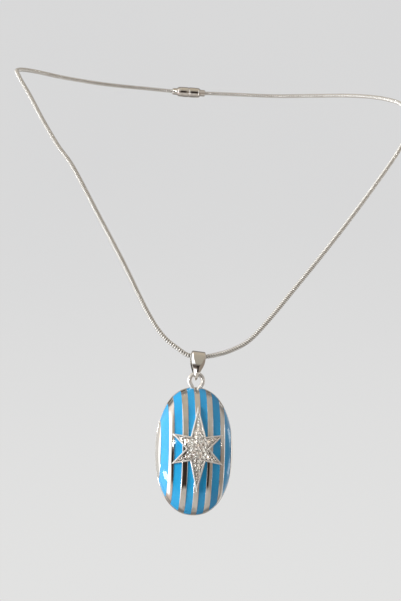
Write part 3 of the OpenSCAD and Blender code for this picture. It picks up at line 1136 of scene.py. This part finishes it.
def studio_sweep():
    """A round pale floor that sweeps up into a wall."""
    profile = [(FLOOR_RING, 0.0), (FLOOR_R, 0.0)]
    for i in range(1, SWEEP_STEPS + 1):
        a = QUARTER * i / SWEEP_STEPS
        profile.append((FLOOR_R + SWEEP_R * math.sin(a), SWEEP_R * (1 - math.cos(a))))
    profile.append((FLOOR_R + SWEEP_R, WALL_TOP))
    points = [Vector((0, 0, FLOOR_Z))]
    for radius, height in profile:
        points += ring(SWEEP_SIDES, radius, FLOOR_Z + height)
    faces = [[0, 1 + k, 1 + (k + 1) % SWEEP_SIDES] for k in range(SWEEP_SIDES)]
    bands = grid_faces(len(profile), SWEEP_SIDES, wrap_columns=True)
    faces += [[i + 1 for i in reversed(f)] for f in bands]
    mesh = bpy.data.meshes.new("studio_sweep")
    mesh.from_pydata([tuple(p) for p in points], [], faces)
    mesh.shade_smooth()
    material = bpy.data.materials.new("pale_paper")
    nodes = Nodes(material)
    where = nodes.add("ShaderNodeTexCoord")
    axes = nodes.add("ShaderNodeSeparateXYZ", vector=where.outputs["Object"])
    wall = nodes.between(nodes.noise(WALL_CLOUDS), *WALL_COLOURS)
    rise = nodes.fade(axes.outputs["Z"], FLOOR_Z, FLOOR_Z + SWEEP_R)
    paper = nodes.between(rise, FLOOR_COLOUR, wall)
    nodes.finish(nodes.add("ShaderNodeEmission", color=paper))
    mesh.materials.append(material)
    sweep = bpy.data.objects.new("studio_sweep", mesh)
    bpy.context.scene.collection.objects.link(sweep)
    sweep.visible_glossy = False
    sweep.visible_diffuse = False
    sweep.visible_transmission = False
    sweep.visible_shadow = False


def softbox(name, direction, distance, width, height, energy, colour, reflects):
    """A flat lamp that faces the pendant from a direction."""
    light = bpy.data.lights.new(name, "AREA")
    light.shape = "RECTANGLE"
    light.size = width
    light.size_y = height
    light.energy = energy
    light.color = colour
    lamp = bpy.data.objects.new(name, light)
    lamp.location = OVAL + Vector(direction).normalized() * distance
    lamp.rotation_mode = "QUATERNION"
    lamp.rotation_quaternion = (-Vector(direction)).to_track_quat("-Z", "Y")
    lamp.visible_camera = False
    lamp.visible_glossy = reflects
    bpy.context.scene.collection.objects.link(lamp)


def banded(nodes, height, lowest, bands):
    """A wall's colour: its lowest one, and the bands that take over above it."""
    colour = lowest
    for start, end, band in bands:
        colour = nodes.between(nodes.fade(height, start, end), colour, band)
    return colour


def studio_world():
    """Soft light from the whole room: a bright window side, warm walls and a dark middle in front."""
    world = bpy.data.worlds.new("studio")
    bpy.context.scene.world = world
    nodes = Nodes(world)
    where = nodes.add("ShaderNodeTexCoord")
    axes = nodes.add("ShaderNodeSeparateXYZ", vector=where.outputs["Generated"])
    side = axes.outputs["X"]
    depth = axes.outputs["Y"]
    height = axes.outputs["Z"]
    room = banded(nodes, height, FRONT_LOW, FRONT_BANDS)
    right = banded(nodes, height, RIGHT_LOW, RIGHT_BANDS)
    room = nodes.between(nodes.fade(side, *RIGHT_FROM), room, right)
    rear = banded(nodes, height, REAR_LOW, REAR_BANDS)
    room = nodes.between(nodes.fade(depth, *REAR_FROM), room, rear)
    for along_side, along_height, colour in LEFT_PATCHES:
        patch = nodes.times(nodes.fade(side, *along_side), nodes.fade(height, *along_height))
        room = nodes.between(patch, room, colour)
    for axis, (from_to, colour) in ((side, WINDOW), (height, BELOW)):
        room = nodes.between(nodes.fade(axis, *from_to), room, colour)
    path = nodes.add("ShaderNodeLightPath")
    room = nodes.between(path.outputs["Is Diffuse Ray"], room, ROOM_MATT)
    strength = nodes.spread(path.outputs["Is Transmission Ray"], ROOM_STRENGTH, STONE_STRENGTH)
    shader = nodes.add("ShaderNodeBackground", color=room, strength=strength)
    nodes.finish(shader, "ShaderNodeOutputWorld")


def camera():
    """The camera at the photograph's place, angle and lens."""
    data = bpy.data.cameras.new("camera")
    data.lens = CAMERA_LENS
    data.sensor_width = CAMERA_SENSOR
    data.clip_start, data.clip_end = CAMERA_CLIP
    forward = CAMERA_LOOKS.normalized()
    right = forward.cross(Vector((0, 0, 1))).normalized()
    up = right.cross(forward)
    level_right = right * math.cos(CAMERA_ROLL) + up * math.sin(CAMERA_ROLL)
    level_up = up * math.cos(CAMERA_ROLL) - right * math.sin(CAMERA_ROLL)
    turn = Matrix((level_right, level_up, -forward)).transposed()
    obj = bpy.data.objects.new("camera", data)
    obj.matrix_world = Matrix.Translation(CAMERA_AT) @ turn.to_4x4()
    bpy.context.scene.collection.objects.link(obj)
    bpy.context.scene.camera = obj


studio_sweep()
studio_world()
for lamp_row in LAMPS:
    softbox(*lamp_row)
camera()

bpy.context.scene.view_settings.view_transform = "Standard"
